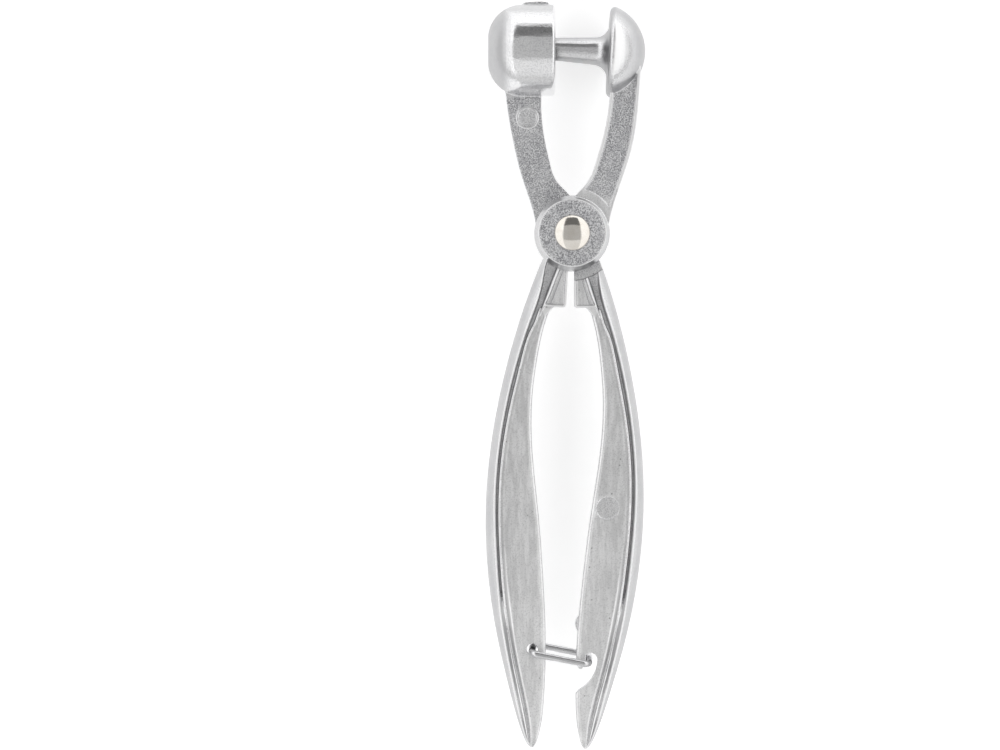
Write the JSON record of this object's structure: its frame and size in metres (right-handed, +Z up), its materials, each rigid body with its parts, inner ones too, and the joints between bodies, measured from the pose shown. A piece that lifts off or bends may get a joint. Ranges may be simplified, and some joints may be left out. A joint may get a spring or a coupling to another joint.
{
  "type": "cherry pitter",
  "caption": "Hand-held fruit stoner: crossed cast-aluminium levers with a cup jaw and a plunger jaw, latched by a wire bail.",
  "frame": {"origin": "middle of the underside of the whole tool lying flat, with its handles latched", "axes": "+Y along the tool from the handles to the jaws, +Z up along the rivet's axis towards its domed head, +X from the cup jaw to the plunger jaw"},
  "size_m": [0.0386, 0.1804, 0.022],
  "materials": {
    "cast_aluminium": "die cast, jaws and handle backs polished",
    "nickel": "nickel plated, polished",
    "spring_wire": "drawn spring wire",
    "bright_wire": "bright drawn wire"
  },
  "bodies": {
    "cup_lever": {"cup_lever": "cast_aluminium", "pivot_rivet": "nickel", "rivet_washer": "nickel", "torsion_spring": "spring_wire"},
    "plunger_lever": {"plunger_lever": "cast_aluminium"},
    "bail": {"wire_bail": "bright_wire"}
  },
  "joints": [
    {"name": "handle_pivot", "type": "hinge", "parent": "cup_lever", "child": "plunger_lever", "pos_m": [0.00157, 0.03415, 0.011], "axis": [0, 0, 1], "range_deg": [-33, 0.5], "deforming": ["torsion_spring"]},
    {"name": "bail_swing", "type": "hinge", "parent": "plunger_lever", "child": "bail", "pos_m": [-0.00798, -0.06615, 0.011], "axis": [0, 0, 1], "range_deg": [-60, 0]}
  ]
}
